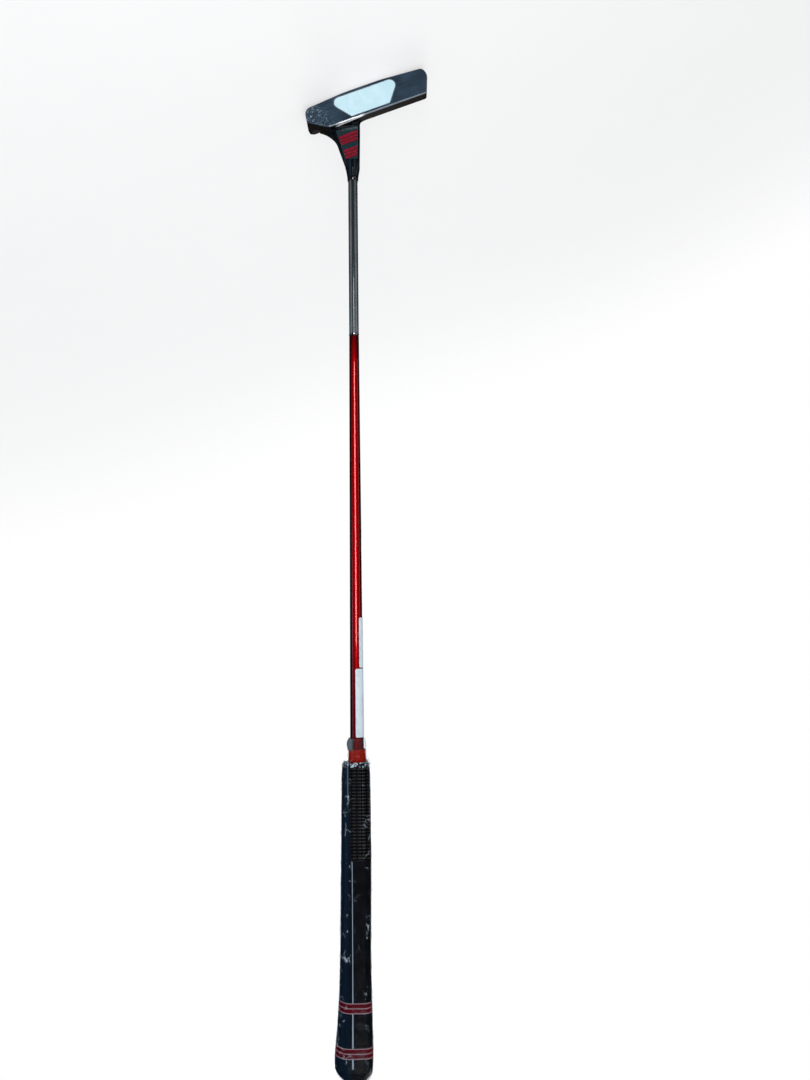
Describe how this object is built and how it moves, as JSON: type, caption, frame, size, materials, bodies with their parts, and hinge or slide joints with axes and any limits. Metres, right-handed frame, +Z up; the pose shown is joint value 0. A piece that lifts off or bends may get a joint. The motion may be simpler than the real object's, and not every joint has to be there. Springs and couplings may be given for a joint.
{
  "type": "golf putter",
  "caption": "Right-handed blade putter with a triangular leaning hosel, light face insert, two-piece shaft and pistol grip, with a screw-in weight at each end of the sole.",
  "frame": {"origin": "middle of the flat of the sole, on the ground at address", "axes": "+Z up at address; +X from toe to heel; -Y the way the face looks. The shaft leans 20 degrees from +Z towards +X."},
  "size_m": [0.3802, 0.0475, 0.8129],
  "materials": {
    "head_steel": "dark blue-grey brushed finish",
    "insert": "satin, fine lines",
    "tape": "matt bonding tape",
    "badge": "gloss, dark teal",
    "red_paint": "gloss",
    "white_paint": "matt paint fill",
    "weight": "satin machined",
    "washer": "matt",
    "ferrule": "gloss",
    "epoxy": "cured adhesive",
    "shaft_steel": "smoked gloss",
    "ring": "polished, lower half black",
    "shaft_red": "candy red lacquer over carbon",
    "counterweight": "turned",
    "grip": "matt, moulded texture on the lower flat",
    "grip_white": "satin paint",
    "grip_red": "satin paint",
    "cuff": "matt, slightly translucent",
    "film": "clear thin wrap",
    "label": "blank paper label"
  },
  "bodies": {
    "putter": {"head_body": "head_steel", "face_insert": "insert", "insert_tape": "tape", "hosel_badge": "badge", "badge_bars": "red_paint", "sight_line_infill": "white_paint", "ferrule": "ferrule", "hosel_epoxy": "epoxy", "shaft_steel_tip": "shaft_steel", "shaft_joint_ring": "ring", "shaft_graphite_tube": "shaft_red", "butt_counterweight": "counterweight", "grip_tape": "tape", "grip_body": "grip", "grip_white_trim": "grip_white", "grip_red_hoops": "grip_red", "grip_end_cap": "grip", "grip_cuff": "cuff", "grip_film_sleeve": "film", "shaft_label_low": "label", "shaft_label_high": "label"},
    "heel_weight_travel": {"heel_weight_washer": "washer"},
    "heel_weight_spin": {"heel_weight": "weight"},
    "toe_weight_travel": {"toe_weight_washer": "washer"},
    "toe_weight_spin": {"toe_weight": "weight"}
  },
  "joints": [
    {"name": "heel_weight_slide", "type": "slide", "parent": "putter", "child": "heel_weight_travel", "axis": [0.0732, 0, -0.9973], "range_m": [0, 0.006]},
    {"name": "heel_weight_turn", "type": "hinge", "parent": "heel_weight_travel", "child": "heel_weight_spin", "pos_m": [0.043, 0.002, 0.00184], "axis": [0.0732, 0, -0.9973], "range_deg": [0, 1729]},
    {"name": "toe_weight_slide", "type": "slide", "parent": "putter", "child": "toe_weight_travel", "axis": [-0.0732, 0, -0.9973], "range_m": [0, 0.006]},
    {"name": "toe_weight_turn", "type": "hinge", "parent": "toe_weight_travel", "child": "toe_weight_spin", "pos_m": [-0.043, 0.002, 0.00184], "axis": [-0.0732, 0, -0.9973], "range_deg": [0, 1729]}
  ],
  "couplings": [
    {"joint": "heel_weight_turn", "follows": "heel_weight_slide", "rad_per_m": 5026.5},
    {"joint": "toe_weight_turn", "follows": "toe_weight_slide", "rad_per_m": 5026.5}
  ]
}
